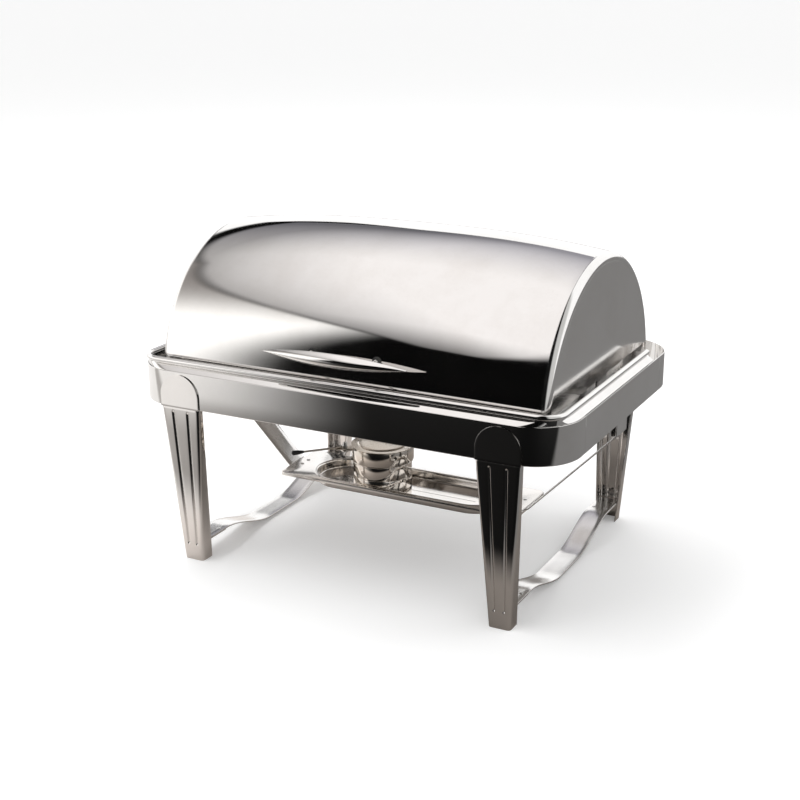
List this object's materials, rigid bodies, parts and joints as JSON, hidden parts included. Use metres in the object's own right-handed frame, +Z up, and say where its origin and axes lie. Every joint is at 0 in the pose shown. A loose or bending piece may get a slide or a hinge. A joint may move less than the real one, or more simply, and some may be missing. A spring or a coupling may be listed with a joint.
{
  "type": "roll top chafer",
  "caption": "Full-size roll top chafer: crowned half-drum lid that rolls back, lift-out food pan over a water pan, skirted frame on four pressed legs, and a sliding fuel holder on a hung shelf.",
  "frame": {"origin": "on the table, under the middle of the body", "axes": "+X to the right along the body, +Y to the back, +Z up"},
  "size_m": [0.64, 0.4516, 0.467],
  "materials": {
    "polished_steel": "mirror polished stainless steel",
    "leg_steel": "mirror polished stainless steel, pressed",
    "strap_steel": "bright rolled stainless steel",
    "pan_steel": "satin drawn stainless steel",
    "burner_steel": "polished stainless steel, slightly heat tinted",
    "fastener_steel": "plain stainless steel",
    "knob_plastic": "black heat-proof plastic, semi gloss",
    "washer_nylon": "natural nylon",
    "bumper_rubber": "black silicone rubber"
  },
  "bodies": {
    "base": {"skirt_front": "polished_steel", "skirt_rear": "polished_steel", "skirt_end_left": "polished_steel", "skirt_end_right": "polished_steel", "rim_frame": "polished_steel", "leg_front_left": "leg_steel", "leg_front_right": "leg_steel", "leg_rear_left": "leg_steel", "leg_rear_right": "leg_steel", "end_strap_left": "strap_steel", "end_strap_right": "strap_steel", "strap_tab_front_left": "strap_steel", "strap_tab_front_right": "strap_steel", "strap_tab_rear_left": "strap_steel", "strap_tab_rear_right": "strap_steel", "fuel_shelf": "strap_steel", "hanger_left": "strap_steel", "hanger_right": "strap_steel", "water_pan": "pan_steel", "pivot_bracket_left": "fastener_steel", "pivot_bracket_right": "fastener_steel", "pivot_pin_left": "fastener_steel", "pivot_pin_right": "fastener_steel", "strap_rivets": "fastener_steel", "shelf_rivets": "fastener_steel", "pivot_washer_left": "washer_nylon", "pivot_washer_right": "washer_nylon", "lid_bumpers": "bumper_rubber"},
    "lid": {"lid_sheet": "polished_steel", "lid_end_left": "polished_steel", "lid_end_right": "polished_steel", "pivot_plate_left": "fastener_steel", "pivot_plate_right": "fastener_steel", "lid_handle": "polished_steel", "handle_posts": "polished_steel", "handle_pads": "bumper_rubber", "handle_screws": "fastener_steel"},
    "food_pan": {"food_pan": "pan_steel"},
    "fuel_holder": {"fuel_cup": "burner_steel", "fuel_collar": "burner_steel", "collar_bead": "burner_steel", "damper_lug": "burner_steel", "damper_pin": "fastener_steel"},
    "damper": {"damper_lid": "burner_steel", "damper_lever": "burner_steel", "lever_knob": "knob_plastic"}
  },
  "joints": [
    {"name": "lid_roll", "type": "hinge", "parent": "base", "child": "lid", "pos_m": [0, 0, 0.256], "axis": [-1, 0, 0], "range_deg": [0, 90]},
    {"name": "food_pan_lift", "type": "slide", "parent": "base", "child": "food_pan", "axis": [0, 0, 1], "range_m": [0, 0.07]},
    {"name": "fuel_holder_slide", "type": "slide", "parent": "base", "child": "fuel_holder", "axis": [1, 0, 0], "range_m": [-0.06, 0.15]},
    {"name": "damper_swing", "type": "hinge", "parent": "fuel_holder", "child": "damper", "pos_m": [-0.08387, -0.04169, 0.1385], "axis": [0, 0, -1], "range_deg": [0, 95]}
  ]
}
